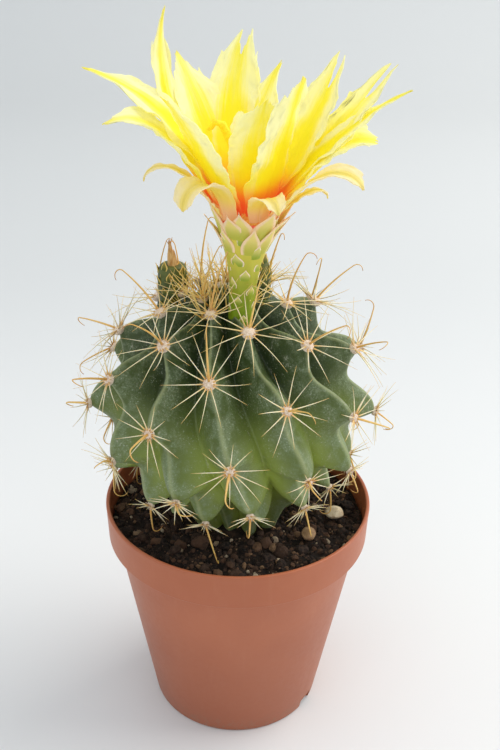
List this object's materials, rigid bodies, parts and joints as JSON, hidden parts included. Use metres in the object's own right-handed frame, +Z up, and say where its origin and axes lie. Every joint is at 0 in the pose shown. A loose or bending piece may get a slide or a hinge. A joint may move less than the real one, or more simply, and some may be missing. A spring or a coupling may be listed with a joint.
{
  "type": "potted cactus",
  "caption": "Ribbed globe cactus with hooked spines and one open yellow flower, growing in a small tapered plastic pot of gritty compost.",
  "frame": {"origin": "centre of the pot's base, on the surface it stands on", "axes": "+Z up along the pot's axis, -Y the front, +X to the right"},
  "size_m": [0.0757, 0.0754, 0.1472],
  "materials": {
    "pot": "satin",
    "soil": "matte",
    "stones": "matte",
    "skin": "satin",
    "spines": "satin",
    "tube": "satin",
    "petals": "satin",
    "outer_petals": "satin",
    "pollen": "matte",
    "fruit": "satin",
    "dried": "matte"
  },
  "bodies": {
    "root": {"pot": "pot", "soil": "soil", "pebble_cream": "stones", "pebble_tan": "stones", "stem": "skin", "crown_spines": "spines", "flower_tube": "tube", "stamens": "pollen", "style": "pollen", "fruit": "fruit", "bud": "fruit", "fruit_dried_flower": "dried", "spine_cluster_07": "spines", "spine_cluster_08": "spines", "spine_cluster_09": "spines", "spine_cluster_10": "spines", "spine_cluster_11": "spines", "spine_cluster_12": "spines", "spine_cluster_13": "spines", "spine_cluster_14": "spines", "spine_cluster_15": "spines", "spine_cluster_16": "spines", "spine_cluster_17": "spines", "spine_cluster_18": "spines", "spine_cluster_19": "spines", "spine_cluster_20": "spines", "spine_cluster_21": "spines", "spine_cluster_22": "spines", "spine_cluster_23": "spines", "spine_cluster_24": "spines", "spine_cluster_25": "spines", "spine_cluster_26": "spines", "spine_cluster_27": "spines", "spine_cluster_28": "spines", "spine_cluster_29": "spines", "spine_cluster_30": "spines", "spine_cluster_31": "spines", "spine_cluster_32": "spines", "spine_cluster_33": "spines", "spine_cluster_34": "spines", "spine_cluster_35": "spines", "spine_cluster_36": "spines", "spine_cluster_37": "spines", "spine_cluster_38": "spines", "petal_01": "petals", "petal_02": "petals", "petal_03": "petals", "petal_04": "petals", "petal_05": "petals", "petal_06": "petals", "petal_07": "petals", "petal_08": "petals", "petal_09": "petals", "petal_10": "petals", "petal_11": "petals", "petal_12": "petals", "outer_petal_01": "outer_petals", "outer_petal_02": "outer_petals", "outer_petal_03": "outer_petals", "outer_petal_04": "outer_petals"}
  },
  "joints": []
}
